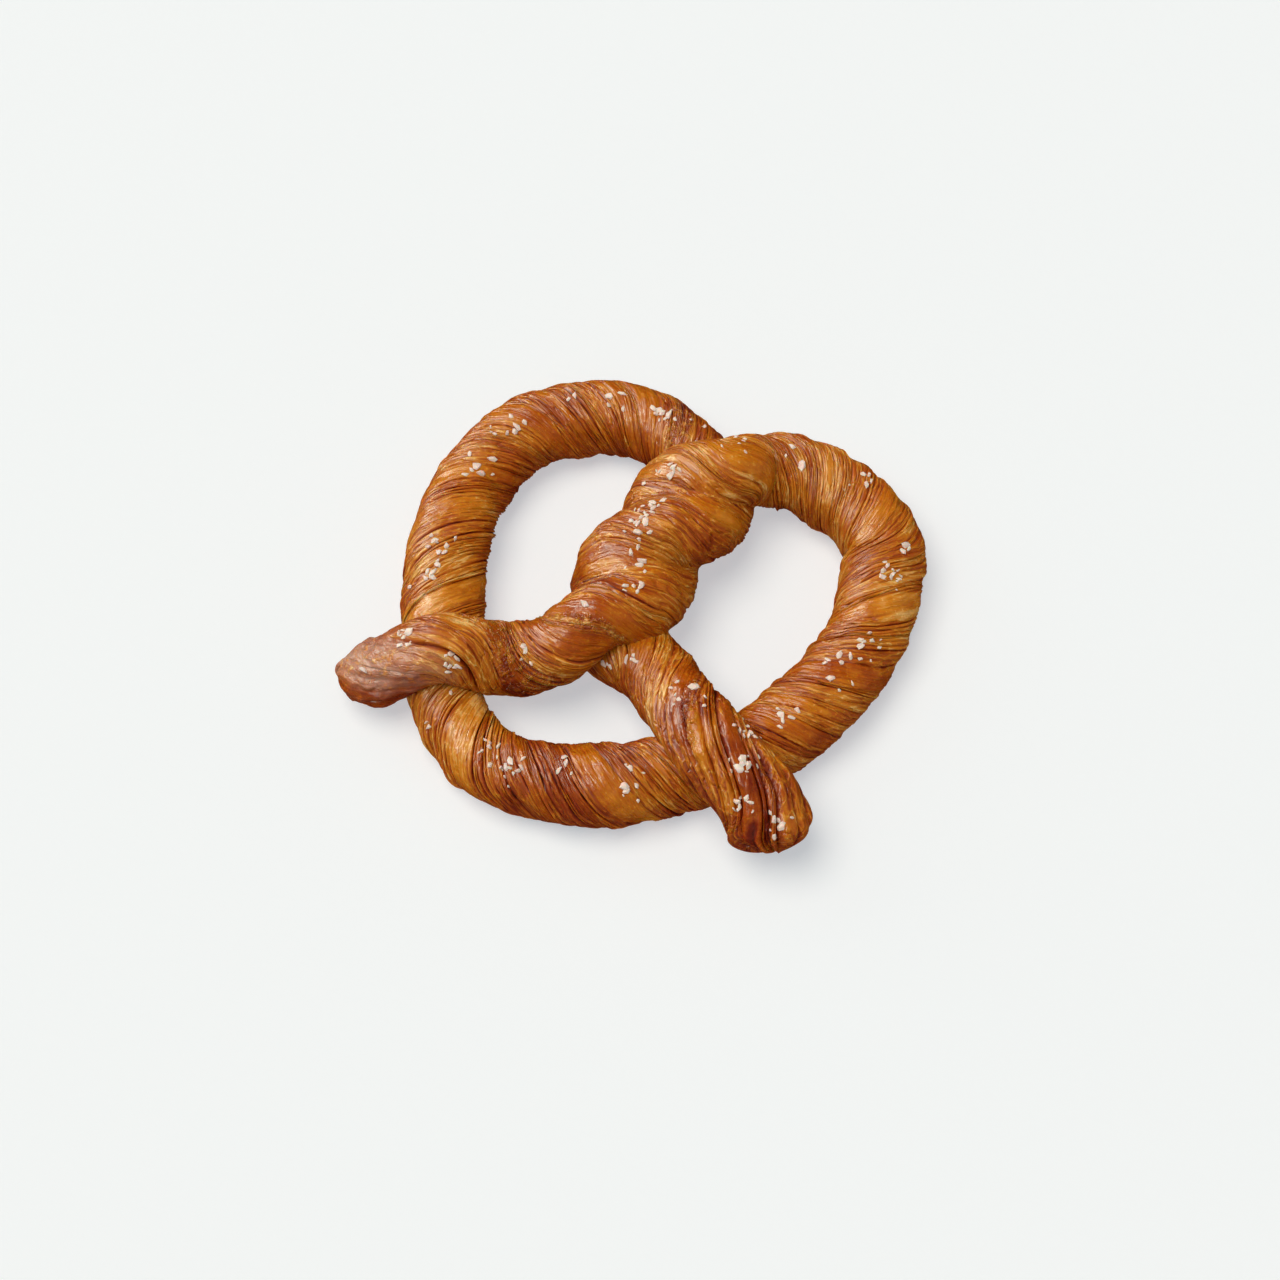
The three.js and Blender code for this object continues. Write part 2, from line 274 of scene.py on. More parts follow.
station = ring_stations()
centre = np.stack([np.interp(station, fine_length, axis) for axis in fine_points.T], 1)
tangent = np.gradient(centre, station, axis=0)
tangent /= np.linalg.norm(tangent, axis=1)[:, None]
leftward = np.cross((0, 0, 1), tangent)
leftward /= np.linalg.norm(leftward, axis=1)[:, None]
upward = np.cross(tangent, leftward)
tip_closing = closing(station, LEFT_TIP_ROUND) * closing(rope_length - station, RIGHT_TIP_ROUND)
half_width = np.interp(station, fine_length, fine_width) / 2 * tip_closing
print(len(station), "rings")

# %% [markdown]
# The baker twists the rope, so every layer of the dough winds round it like the strands of a rope. If the
# grid's columns wind in the same way, each column follows one layer, and a ridge needs only three of them:
# one in the groove and one on each shoulder. A straight grid would need ten times as many faces for the
# same sharpness. Towards the tips the layers straighten out.

# %% Twisted columns
RIDGES = 36  # thin layers round the rope
RIDGE_COLUMNS = 3
SIDES = RIDGES * RIDGE_COLUMNS
RIDGE_PITCH = 43  # length of rope in one full turn of a layer
LEFT_TIP_REACH, RIGHT_TIP_REACH = 66, 95  # the stretches over which the twist slows
TIP_TURN = 0.08  # the share of it left at a tip
STRAND_RADIUS = 11.5
LAYERS_APART = 5.37  # in the noise, so that no two layers are alike
NOISE_GAIN = 0.85
SWAY = 0.34  # of the layers from side to side, in radians
UNEVEN = 0.42  # how far a groove moves, as a share of a layer


def slowed(reach, tip_reach):
    """How much twist is missing, in millimetres of rope, at this distance from a tip."""
    spare = np.maximum(0, tip_reach - reach)
    return (1 - TIP_TURN) * spare**2 / (2 * tip_reach)


def strand_noise(across, along, seed):
    """Noise on the strand before it was twisted, with features of these sizes in millimetres."""
    x = STRAND_RADIUS / across * np.cos(layer_angle)
    y = STRAND_RADIUS / across * np.sin(layer_angle)
    return np.array([[noise.noise((a + seed, b, s / along)) for a, b in zip(x, y)] for s in station])


def ridge_noise(fade, seed):
    """A number from 0 to 1 for each thin layer, changing over about fade millimetres of rope."""
    raw = [[noise.noise((LAYERS_APART * k + seed, s / fade, seed)) for k in range(RIDGES)] for s in station]
    return np.clip(0.5 + NOISE_GAIN * np.array(raw), 0, 1)


def to_columns(groove, first, second):
    """Values of each thin layer's groove and shoulders, laid out column by column."""
    return np.stack([groove, first, second], -1).reshape(len(station), SIDES)


slowing = slowed(station, LEFT_TIP_REACH) - slowed(rope_length - station, RIGHT_TIP_REACH)
turn = 2 * math.pi * (station + slowing) / RIDGE_PITCH
layer_angle = np.arange(SIDES) * 2 * math.pi / SIDES  # which layer a column follows
drift = strand_noise(across=10, along=48, seed=3.1)
shift = UNEVEN * (2 * ridge_noise(fade=9, seed=5.5) - 1)
next_shift = np.roll(shift, -1, axis=1)
layer_width = 1 + next_shift - shift
uneven = to_columns(shift, shift + (next_shift - shift) / 3, shift + (next_shift - shift) * 2 / 3)
column_angle = layer_angle + SWAY * drift + uneven * 2 * math.pi / RIDGES
skin_angle = column_angle - turn[:, None]  # from the top of the section
print("layers make", round(turn[-1] / (2 * math.pi), 1), "turns")

# %% [markdown]
# Two kinds of surface wind round the rope. Where the dough's cut side shows, it is a bundle of thin layers
# with sharp grooves between them. Where its outer skin shows, it is smoother, with blisters and dimples.
# The layers come first. A sculptor would draw them with a crease brush. Here each one gets a height and a
# groove from noise that changes slowly along it, and a few deep cracks part the bundles.

# %% Bundles of layers
BAKED = np.array([  # distance along the rope, how much darker it baked, how deep its layers opened
    (0, 0, 0.8), (30, 0, 0.9), (46, 0, 1.2), (64, 0.01, 1.2), (90, 0.04, 0.8), (150, 0, 0.8),
    (200, 0.02, 0.95), (245, -0.01, 0.9), (280, 0.06, 1), (330, 0.08, 1.1), (352, 0.11, 1.1),
    (362, 0.24, 1.6), (374, 0.2, 2), (388, 0.08, 2.1), (405, -0.03, 2), (430, -0.03, 1.3), (500, 0.08, 0.8),
    (540, 0.1, 1.1), (600, 0.01, 0.8), (660, 0.03, 1), (690, 0.06, 1.2), (708, 0.1, 1), (722, 0.12, 1),
    (734, 0.15, 1),
])
BUNDLE_LAYERS = (2, 4)  # thin layers in a bundle, from and to
BUNDLE_HEIGHT, CRACK_DEPTH = 0.6, 0.6
LONG_CRACKS, SHORT_CRACKS = 0.7, 0.4
LAYER_HEIGHT, LAYER_GROOVE = 0.45, 0.38
FINE_LEAST, FINE_RANGE = 0.15, 0.9  # how clearly the layers of a bundle part
LAYER_SEED = 31

dice = np.random.default_rng(LAYER_SEED)
bundle_starts = [0]
while bundle_starts[-1] + BUNDLE_LAYERS[1] < RIDGES:
    bundle_starts.append(bundle_starts[-1] + int(dice.integers(*BUNDLE_LAYERS, endpoint=True)))
first_in_bundle = np.isin(np.arange(RIDGES), bundle_starts)
bundle = np.cumsum(first_in_bundle) - 1


def bundle_noise(fade, seed):
    """The same for each bundle, given to all its layers."""
    return ridge_noise(fade, seed)[:, bundle]


baked_along, baked_dark, baked_deep = BAKED.T
opened_deep = np.interp(station, baked_along, baked_deep)[:, None]
crack = LONG_CRACKS * ridge_noise(fade=12, seed=40.7) + SHORT_CRACKS * ridge_noise(fade=4, seed=43.1)
crack = np.where(first_in_bundle, crack**2, 0) * opened_deep
fineness = opened_deep * (FINE_LEAST + FINE_RANGE * bundle_noise(fade=16, seed=15.1))
bundle_rise = BUNDLE_HEIGHT * (bundle_noise(fade=16, seed=9.9) - 0.5)
lower_rise = np.minimum(bundle_rise, np.roll(bundle_rise, 1, axis=1))
opening = ridge_noise(fade=6, seed=29.3)
ridge = bundle_rise + LAYER_HEIGHT * fineness * ridge_noise(fade=5, seed=1.3) * layer_width
groove = lower_rise - LAYER_GROOVE * fineness * opening - CRACK_DEPTH * crack
skew = LAYER_HEIGHT * fineness * (bundle_noise(fade=20, seed=61.9) - 0.5)
layered_relief = to_columns(groove, ridge - skew, ridge + skew)
layered_relief += BUNDLE_HEIGHT * strand_noise(across=6, along=9, seed=23.9)
print(len(bundle_starts), "bundles, cracks to", round(layered_relief.min(), 2), "mm")

# %% [markdown]
# Grooves are painted darker as shade, edges that stand up are painted paler as a highlight, and each layer
# has a tint of its own. They could be painted later, but worked out beside the relief they always agree with
# the shape.

# %% Tints of the layers
GROOVE_OPENING, GROOVE_MOST = 0.7, 1.2
CREST_HIGHLIGHT = 0.3  # painted highlight: how far a layer's edge pales, where its painted groove shade is 1
CREST_LEAST, CREST_SKEW = 0.3, 3
BUNDLE_TINT, LAYER_TINT = 0.6, 0.4
PALE_ABOVE, PALE_TINT = 0.62, 1.2  # a few bundles stayed pale

# painted shade in cracks and open grooves, and below it a painted highlight on the shoulders of leaning
# layers
groove_shade_and_crest_light = np.clip(crack + GROOVE_OPENING * fineness * opening, 0, GROOVE_MOST)
lean = skew / LAYER_HEIGHT * CREST_SKEW
crest_highlight_share = np.clip([CREST_LEAST - lean, CREST_LEAST + lean], 0, 1) * fineness
groove_shade_and_crest_light = to_columns(groove_shade_and_crest_light, *(-CREST_HIGHLIGHT * crest_highlight_share))
tint = BUNDLE_TINT * bundle_noise(fade=12, seed=77.7) + LAYER_TINT * ridge_noise(fade=7, seed=88.8)
tint -= PALE_TINT * np.clip(bundle_noise(fade=9, seed=70.1) - PALE_ABOVE, 0, 1)
tint = to_columns((tint + np.roll(tint, 1, axis=1)) / 2, tint, tint)
print("tints from", round(tint.min(), 2), "to", round(tint.max(), 2))

# %% [markdown]
# The skin shows in patches that run along the layers, each one where the twist turned it outwards. A patch
# is a place on the rope, an angle from the top, a length, a width and how much darker it baked than the
# layers. A painted mask would do as well, but a list of places is easier to correct. Some patches broke
# into golden flakes, some puckered, and the left tip stayed dull. Noise makes their edges ragged.

# %% Where the patches lie
SKIN_PATCHES = [  # distance along, degrees from the top, half length, half width in degrees, browning
    (8, 0, 26, 220, 0.13), (12, -80, 22, 36, 0.2), (52, -8, 13, 40, 0), (56, -62, 6, 36, 0.2),
    (75, -12, 15, 40, 0.05), (86, -12, 12, 36, 0.01), (147, 42, 9, 22, -0.05), (157, -42, 10, 18, -0.06),
    (169, -30, 12, 36, -0.01), (222, -3, 16, 32, -0.08), (251, 0, 12, 36, -0.07), (250, 45, 6, 14, -0.16),
    (272, 21, 14, 40, 0.03), (289, -3, 6, 22, -0.05), (298, -6, 12, 36, 0.04), (350, 18, 20, 46, -0.15),
    (361, 6, 12, 18, 0.02), (373, 6, 14, 14, -0.08), (396, -5, 20, 46, -0.17), (436, -3, 14, 42, -0.08),
    (462, 33, 14, 34, -0.09), (479, -3, 14, 30, -0.05), (502, 9, 12, 34, -0.09), (508, -39, 10, 30, 0),
    (514, -3, 8, 12, -0.09), (537, -30, 14, 18, -0.07), (539, 21, 8, 38, -0.07), (592, 30, 9, 20, -0.05),
    (621, -12, 12, 30, 0.06), (621, 15, 7, 20, -0.11), (661, 3, 10, 28, 0), (684, 0, 17, 28, 0.12),
    (697, -26, 8, 13, -0.15), (714, -15, 25, 27, 0.08),
]
FLAKY_PATCHES = [(54, 5, 24, 80), (84, -30, 9, 26), (550, 21, 9, 40), (320, -10, 12, 30), (690, -5, 10, 20)]
WRINKLED_PATCHES = [(353, 10, 12, 24), (697, -26, 9, 15), (436, -3, 14, 42)]
DULL_PATCH = (10, 15, 36, 100)  # the left tip, which the glaze missed, and where a painted sheen goes
PATCH_EDGE, DULL_EDGE = 0.3, 0.8  # how softly a patch ends, as a share of its size
TORN_ALONG, TORN_ROUND = 0.22, 0.2  # how ragged its edge is, with the layers and without grain


def wrapped(angle):
    """The same direction as an angle between minus and plus half a turn."""
    return (angle + math.pi) % (2 * math.pi) - math.pi


def on_section(reach):
    """Points at these distances from the rope's centreline."""
    sideways = (reach * np.sin(skin_angle))[..., None] * leftward[:, None]
    raised = (HEIGHT_SHARE * reach * np.cos(skin_angle))[..., None] * upward[:, None]
    return centre[:, None] + sideways + raised


def surface_noise(size, seed):
    """Noise on the skin itself, with features of about this size in millimetres."""
    return np.array([[noise.noise((x + seed, y, z)) for x, y, z in row] for row in plain / size])


def layer_at(along, from_top):
    """Which layer lies at this distance along the rope and this many degrees from the top, as an angle."""
    return np.radians(from_top) + np.interp(along, station, turn)


def patch_at(along, from_top, half_length, half_band, edge=PATCH_EDGE):
    """1 inside a patch that follows the layers, 0 outside, with a torn edge."""
    across = wrapped(skin_angle + turn[:, None] - layer_at(along, from_top))
    away = np.hypot(across / math.radians(half_band), (station[:, None] - along) / half_length)
    return smooth((1 - away - torn) / edge)


plain = on_section(half_width[:, None])
torn = TORN_ALONG * strand_noise(across=3, along=14, seed=11.7) + TORN_ROUND * surface_noise(size=4, seed=90)
dull = patch_at(*DULL_PATCH, edge=DULL_EDGE)
flaky = np.max([patch_at(*patch) for patch in FLAKY_PATCHES], axis=0)
wrinkled = np.max([patch_at(*patch) for patch in WRINKLED_PATCHES], axis=0)
print("flakes cover", round(100 * flaky.mean(), 1), "percent")

# %% Browning of the skin, with painted shade on its flanks
FLANK_SHADE = 0.08  # painted shade: how much darker the flanks are than the top
FLANK_FROM, FLANK_FADE = 0.6, 0.9  # upward facing where that starts, and over how much it grows

skin = np.zeros_like(torn)
browned = np.zeros_like(torn)
for along, from_top, half_length, half_band, darkness in SKIN_PATCHES:
    patch = patch_at(along, from_top, half_length, half_band)
    browned += (darkness - browned) * patch
    skin = np.maximum(skin, patch)
browned += np.interp(station, baked_along, baked_dark)[:, None]
# painted shade: the flanks are darker than the top
browned += FLANK_SHADE * smooth((FLANK_FROM - np.cos(skin_angle)) / FLANK_FADE)
print("skin covers", round(100 * skin.mean()), "percent")

# %% [markdown]
# Both tips are drawn out into a few long folds with valleys between them, shallow on the left tip and deep
# on the right one. Each fold could be a curve of its own. It is simpler to read the angles of the valleys
# off the real tips and to let the skin rise between two of them like half a pipe.

# %% Long folds
LEFT_FOLDS = 20, (-150, -110, -75, -50, -22, 12, 30, 62, 100, 140)  # distance along, degrees from the top
RIGHT_FOLDS = 716, (-130, -104, -78, -54, -38, -2, 12, 32, 56, 80, 110, 150)
LEFT_FOLD_RISE, RIGHT_FOLD_RISE = 0.2, 0.9
LEFT_FOLD_REACH, RIGHT_FOLD_REACH = (18, 44), (20, 60)  # from the tip: folded up to here, plain from there
FOLD_ROUND = 0.35  # power that rounds a fold's top


def column_at(along, from_top):
    """The column nearest to the layer at this place."""
    return np.round(layer_at(along, from_top) / (2 * math.pi) * SIDES).astype(int) % SIDES


def long_folds(along, valleys):
    """Height of each column on folds that follow the layers, in columns, around zero."""
    columns = column_at(along, np.array(valleys))
    past = np.min((np.arange(SIDES)[:, None] - columns) % SIDES, axis=1)
    ahead = np.min((columns - np.arange(SIDES)[:, None]) % SIDES, axis=1)
    height = (past * ahead) ** FOLD_ROUND
    return height - height.mean()


def near_tip(reach, folded, plain_from):
    """1 near a tip, 0 from plain_from on."""
    return 1 - smooth((reach - folded) / (plain_from - folded))[:, None]


left_share = near_tip(station, *LEFT_FOLD_REACH)
right_share = near_tip(rope_length - station, *RIGHT_FOLD_REACH)
folds = LEFT_FOLD_RISE * left_share * long_folds(*LEFT_FOLDS)
folds = folds + RIGHT_FOLD_RISE * right_share * long_folds(*RIGHT_FOLDS)
print("folds from", round(folds.min(), 2), "to", round(folds.max(), 2), "mm")

# %% [markdown]
# Now the layers and the skin are put together. The skin crumples like paper, without a grain, and more
# where it is dull, flaky or puckered. Slow swells and lumps make the rope as uneven as hand-rolled dough.
# Displace modifiers could add all this, but as plain sums each can be weighed by the patches.

# %% Relief of the skin
SKIN_STEP, SKIN_GRAIN = 0.1, 0.3  # how far the skin stands out, and how much of the layers shows through
FOLDS_SMOOTH = 0.7  # the share of that which the right tip's folds pull flat
BUMP_HEIGHT, BUMP_SIZE, BUMP_OCTAVES = 0.6, 4.5, 3
LUMP_HEIGHT, LUMP_SIZE = 0.9, 8
SWELL_HEIGHT, SWELL_LENGTHS = 0.35, (46, 75)
CRAG_PATCH, CRAG_HEIGHT = (5, -75, 14, 70), 0.7  # the burnt lower edge of the left tip


def surface_wrinkles(size):
    """Noise on the skin with sharp valleys, like crumpled paper, around zero."""
    rows = [[noise.turbulence(Vector(p), BUMP_OCTAVES, True) for p in row] for row in plain / size]
    return np.array(rows) - np.mean(rows)


bumps = surface_wrinkles(BUMP_SIZE)
lumps = surface_noise(LUMP_SIZE, seed=50)
swell_short, swell_long = (2 * math.pi * station[:, None] / length for length in SWELL_LENGTHS)
swell = np.sin(swell_short + np.cos(skin_angle)) + np.sin(swell_long + 2 * np.sin(skin_angle))
skin_grain = SKIN_GRAIN * (1 - left_share) * (1 - FOLDS_SMOOTH * right_share) / np.maximum(1, opened_deep)
skin_relief = SKIN_STEP + BUMP_HEIGHT * (1 + dull + flaky + wrinkled) * bumps + skin_grain * layered_relief
relief = layered_relief * (1 - skin) + skin_relief * skin + LUMP_HEIGHT * lumps + SWELL_HEIGHT * swell / 2
relief += folds + CRAG_HEIGHT * patch_at(*CRAG_PATCH) * bumps
print("relief from", round(relief.min(), 2), "to", round(relief.max(), 2), "mm")

# %% [markdown]
# A few marks stand alone: blisters, low rings where steam burst the skin, and crevices where a layer came
# away. At the very tips all columns run together, so the layers fade out there, or they would draw a star.

# %% Blisters, crevices and tips
BLISTERS = [  # distance along the rope, degrees from the top, radius, height
    (12, -6, 2.2, 0.7), (391, 32, 2, 0.6), (683, -6, 2, 0.6), (690, -14, 1.6, 0.5),
]
BLISTER_RIM, BLISTER_RIM_WIDTH = 0.7, 0.4  # as shares of the radius
CREVICES = [  # distance along the rope, degrees from the top, half length, depth
    (40, -45, 22, 2.2), (728, -37, 10, 1.8), (728, -12, 10, 1.2), (692, 40, 20, 0.9),
]
CREVICE_COLUMNS = ((-1, 0.5), (0, 1), (1, 0.5))  # columns across a crevice, and the share of its depth
SKIN_HIDES = 0.8  # the share of the painted groove shade that skin covers
VALLEY_SHADE = 0.65  # painted shade in the valleys of the right tip's folds
TIP_FADE_WIDTH = 9  # half-width of the rope below which a tip loses its layers
TIP_RELIEF = 0.1  # the share of the relief that stays at a tip

for along, from_top, radius, height in BLISTERS:
    across = half_width[:, None] * wrapped(skin_angle - math.radians(from_top))
    away = np.hypot(across, station[:, None] - along) / radius
    relief += height * np.exp(-(((away - BLISTER_RIM) / BLISTER_RIM_WIDTH) ** 2))
groove_shade_and_crest_light *= 1 - SKIN_HIDES * skin
valleys = column_at(RIGHT_FOLDS[0], np.array(RIGHT_FOLDS[1]))
groove_shade_and_crest_light[:, valleys] = np.maximum(groove_shade_and_crest_light[:, valleys], VALLEY_SHADE * right_share)
# each crevice is cut into the relief and gets painted shade
for along, from_top, half_length, depth in CREVICES:
    opened = smooth(1 - np.abs(station - along) / half_length)
    for beside, share in CREVICE_COLUMNS:
        column = (column_at(along, from_top) + beside) % SIDES
        relief[:, column] -= share * depth * opened
        groove_shade_and_crest_light[:, column] = np.maximum(groove_shade_and_crest_light[:, column], share * opened)

tip_fade = smooth(half_width / TIP_FADE_WIDTH)[:, None] ** 2
groove_shade_and_crest_light *= tip_fade
tint = 0.5 + (tint - 0.5) * tip_fade
relief = relief * (TIP_RELIEF + (1 - TIP_RELIEF) * tip_fade) + 2 * BUMP_HEIGHT * (1 - tip_fade) * bumps
print("with crevices, relief from", round(relief.min(), 2), "mm")

# %% [markdown]
# Where strands touch, the dough baked together and the seam between them is filled. A bevel can't follow
# such a seam, so the skin is swollen beforehand: the nearer a point is to another strand, the more it
# rises.

# %% Swell the seams
SEAM_REACH, SEAM_RISE = 8, 2
SEAM_FLAT = 0.5  # the share of the relief that a seam loses
OTHER_STRAND = 45  # along the rope, beyond which it counts as another strand
NEAR = 36  # between the centrelines of strands that may touch
MERGED = np.array([  # distance along the rope, how far it baked into the strand that it touches
    (85, 0.4), (105, 1), (145, 1), (160, 0.5), (300, 0.4), (560, 0.5), (590, 1), (625, 1), (645, 0.4),
])

closeness = np.zeros_like(relief)
for i, s in enumerate(station):
    near = (np.abs(station - s) > OTHER_STRAND) & (np.linalg.norm(centre - centre[i], axis=1) < NEAR)
    if near.any():
        gap = np.linalg.norm(plain[i][:, None] - centre[None, near], axis=2) - half_width[near]
        closeness[i] = 1 - np.clip(gap.min(1) / SEAM_REACH, 0, 1)
closeness *= np.interp(station, *MERGED.T)[:, None]
seam = SEAM_RISE * closeness**2
relief *= 1 - SEAM_FLAT * closeness
print("seams raised up to", round(seam.max(), 2), "mm")

# %% [markdown]
# The relief moves every point of the grid outwards, and the ends of the rope are torn a little unevenly.
# What the finish needs to know travels along as attributes. One is the place on the strand before it was
# twisted, where the finish draws its fibres.

# %% Skin points
LEFT_TIP_UNEVEN, RIGHT_TIP_UNEVEN, TIP_UNEVEN_REACH = 1.2, 2.8, (2, 16)
RELIEF_FADE = 1  # half-width at which a closing tip has lost half of its relief

tip_relief = (half_width / (half_width + RELIEF_FADE))[:, None]
skin_points = on_section(half_width[:, None] + relief * tip_relief + seam)
tips = LEFT_TIP_UNEVEN * near_tip(station, *TIP_UNEVEN_REACH)
tips += RIGHT_TIP_UNEVEN * near_tip(rope_length - station, *TIP_UNEVEN_REACH)
skin_points += (tips * strand_noise(across=4, along=100, seed=70.3))[..., None] * tangent[:, None]
skin_points[..., 2] = np.maximum(skin_points[..., 2], 0)  # pressed flat on the tray

strand_radius = STRAND_RADIUS * tip_closing[:, None]
straight = np.stack([
    strand_radius * np.cos(layer_angle),
    strand_radius * np.sin(layer_angle),
    np.broadcast_to(station[:, None], relief.shape),
], -1)
# the "groove" attribute carries the painted groove shade and crest highlight
dough = {
    "skin": skin, "groove": groove_shade_and_crest_light, "tint": tint, "browned": browned, "dull": dull, "flaky": flaky,
    "straight": straight,
}
print(skin_points.shape[0] * skin_points.shape[1], "skin points, with", list(dough))

# %% [markdown]
# The rope crosses itself, so one long tube would run through itself and leave hidden walls inside. Three
# stretches that never cross themselves are made instead, each a closed solid, and a Boolean union joins
# them. The attributes sit on the corners of the faces, because at a seam two strands with different layers
# share the same points.

# %% Stretches of rope
STRETCH_ENDS = (0, 0.35, 0.65, 1)  # where the stretches meet, as shares of the rings


def with_caps(values):
    """A stretch's values point by point, with the mean of its first and of its last ring for the caps."""
    rows = values.reshape(*values.shape[:2], -1)
    return np.vstack([rows.reshape(-1, rows.shape[2]), rows[0].mean(0), rows[-1].mean(0)]).astype(np.float32)


def stretch(name, first, last):
    """A closed stretch of rope between two rings."""
    rings = np.arange(first, last + 1)
    corner = np.arange(len(rings) * SIDES).reshape(len(rings), SIDES)
    beside = np.roll(corner, -1, axis=1)
    a, b, c, d = corner[:-1], corner[1:], beside[1:], beside[:-1]
    start, end = (np.full(SIDES, corner.size + k) for k in (0, 1))
    sides = ((a, b, c), (a, c, d), (start, corner[0], beside[0]), (end, beside[-1], corner[-1]))
    triangles = np.concatenate([np.stack(side, -1).reshape(-1, 3) for side in sides])
    mesh = bpy.data.meshes.new(name)
    mesh.from_pydata((with_caps(skin_points[rings]) * MM).tolist(), [], triangles.tolist())
    near_other = with_caps(closeness[rings])
    mesh.attributes.new("seam", "FLOAT", "POINT").data.foreach_set("value", near_other.ravel())
    for attribute, values in dough.items():
        kind, field = ("FLOAT_VECTOR", "vector") if values.ndim == 3 else ("FLOAT", "value")
        at_corners = with_caps(values[rings])[triangles.ravel()]
        mesh.attributes.new(attribute, kind, "CORNER").data.foreach_set(field, at_corners.ravel())
    piece = bpy.data.objects.new(name, mesh)
    scene.collection.objects.link(piece)
    return piece


ends = [round(share * (len(station) - 1)) for share in STRETCH_ENDS]
stretches = [stretch(f"stretch_{k}", *pair) for k, pair in enumerate(zip(ends, ends[1:]))]
print("stretches meet at rings", ends)

# %% Join the stretches
for other in stretches[1:]:
    join = stretches[0].modifiers.new("join", "BOOLEAN")
    join.operation = "UNION"
    join.solver = "MANIFOLD"
    join.object = other
joined = bpy.data.meshes.new_from_object(stretches[0].evaluated_get(bpy.context.evaluated_depsgraph_get()))
for piece in stretches:
    bpy.data.objects.remove(piece)
joined.name = "pretzel_crust"
print("crust has", len(joined.polygons), "faces")

# %% [markdown]
# The union leaves a sharp crease where two strands meet, and in baked dough there is none. A Smooth
# modifier with a vertex group would round it off. The same thing is done here in a few lines: points near
# another strand move a little towards the mean of their neighbours, many times over.

# %% Round off the seams
SEAM_SPREAD, SEAM_ROUNDS = 3, 24  # times that closeness spreads, and that the points move
SEAM_FROM, SEAM_FADE = 0.35, 0.5  # closeness where the rounding starts, and over how much it grows
SEAM_MOVE = 0.5  # the share of the way to its neighbours' mean
SHARP_ANGLE = 75  # degrees between faces whose edge stays sharp


def neighbour_mean(values):
    """Mean of each point's neighbours along the edges."""
    total = np.zeros_like(values)
    np.add.at(total, edge_a, values[edge_b])
    np.add.at(total, edge_b, values[edge_a])
    return total / neighbour_count[:, None]


point_count = len(joined.vertices)
points = np.empty(point_count * 3)
joined.vertices.foreach_get("co", points)
points = points.reshape(-1, 3)
edge_ends = np.empty(len(joined.edges) * 2, int)
joined.edges.foreach_get("vertices", edge_ends)
edge_a, edge_b = edge_ends.reshape(-1, 2).T
neighbour_count = np.bincount(edge_ends, minlength=point_count)
near_seam = np.empty(point_count)
joined.attributes["seam"].data.foreach_get("value", near_seam)
near_seam = near_seam[:, None]
for _ in range(SEAM_SPREAD):
    near_seam = np.maximum(near_seam, neighbour_mean(near_seam))
for _ in range(SEAM_ROUNDS):
    points += SEAM_MOVE * smooth((near_seam - SEAM_FROM) / SEAM_FADE) * (neighbour_mean(points) - points)
joined.vertices.foreach_set("co", points.ravel())
joined.shade_smooth()
joined.set_sharp_from_angle(angle=math.radians(SHARP_ANGLE))
crust = bpy.data.objects.new("pretzel_crust", joined)
scene.collection.objects.link(crust)
dressed.objects.link(crust)
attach(crust, "root")
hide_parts("pretzel")
print("rounded off", int((near_seam > SEAM_FROM).sum()), "of", point_count, "points")

# %% [markdown]
# Pretzel salt is pressed into small hard lumps with broken corners. A particle system could scatter them,
# but the grains lie in heaps where they fell, so each heap is a place, a number and a spread, and a small
# seeded generator draws the grains. A ray from above finds the crust under each one.

# %% Where the grains lie
SALT_HEAPS = [  # x, y, number of grains, spread
    (-43, 61, 2, 3), (-33, 63, 3, 5), (-17, 64, 6, 4), (-6, 60, 2, 4), (-59, 43, 4, 4), (-62, 28, 5, 4),
    (-63, -2, 6, 4), (-61, -10, 6, 4),
    (-7, 43, 4, 5), (-8, 28, 9, 4), (-8, 21, 6, 3.5), (-6, 14, 5, 4), (-3, 1, 3, 4), (-14, -8, 2, 2),
    (-4, -16, 2, 3),
    (10, 58, 3, 4), (25, 64, 2, 5), (46, 63, 3, 4), (66, 47, 2, 4), (65, 37, 8, 4), (67, 14, 4, 5),
    (60, 4, 6, 6), (50, -13, 4, 5),
    (-45, -53, 1, 1), (-28, -55, 5, 4), (-18, -58, 8, 4), (-4, -52, 3, 4), (17, -49, 4, 5),
    (-68, -46, 1, 1), (-58, -36, 7, 3), (-42, -37, 6, 4), (-25, -26, 4, 2.5),
    (4, -15, 3, 3), (24, -25, 4, 6), (44, -27, 7, 5), (45, -38, 8, 4), (50, -48, 4, 4), (59, -49, 7, 4),
]
GRAIN_SIZES, CHIP_SIZES = (1.9, 3.6), (1.2, 2.4)
FEW_LARGE = 1.2  # power of the draw: above 1, most grains are small
GRAIN_WIDTH, GRAIN_HEIGHT = (0.42, 0.78), (0.28, 0.45)  # as shares of the length
GRAIN_CORNERS = 12
GRAIN_STEEPEST = 0.35  # least upward facing of crust that holds a grain
GRAIN_APART = 0.2  # of two lengths together
ABOVE_ALL = 100 * MM
SALT_SEED, CHIP_SEED = 4217, 977
DRAW_FACTOR, DRAW_RANGE = 16807, 2147483647


def seeded(seed):
    """Numbers from 0 to 1, the same on every run."""
    state = seed
    while True:
        state = state * DRAW_FACTOR % DRAW_RANGE
        yield state / DRAW_RANGE


def clear_of(landed, at, length):
    """Whether a grain of this length has room here."""
    return all(
        (at - other).length > GRAIN_APART * (length * MM + edges.x) for other, _, edges, _, _ in landed
    )


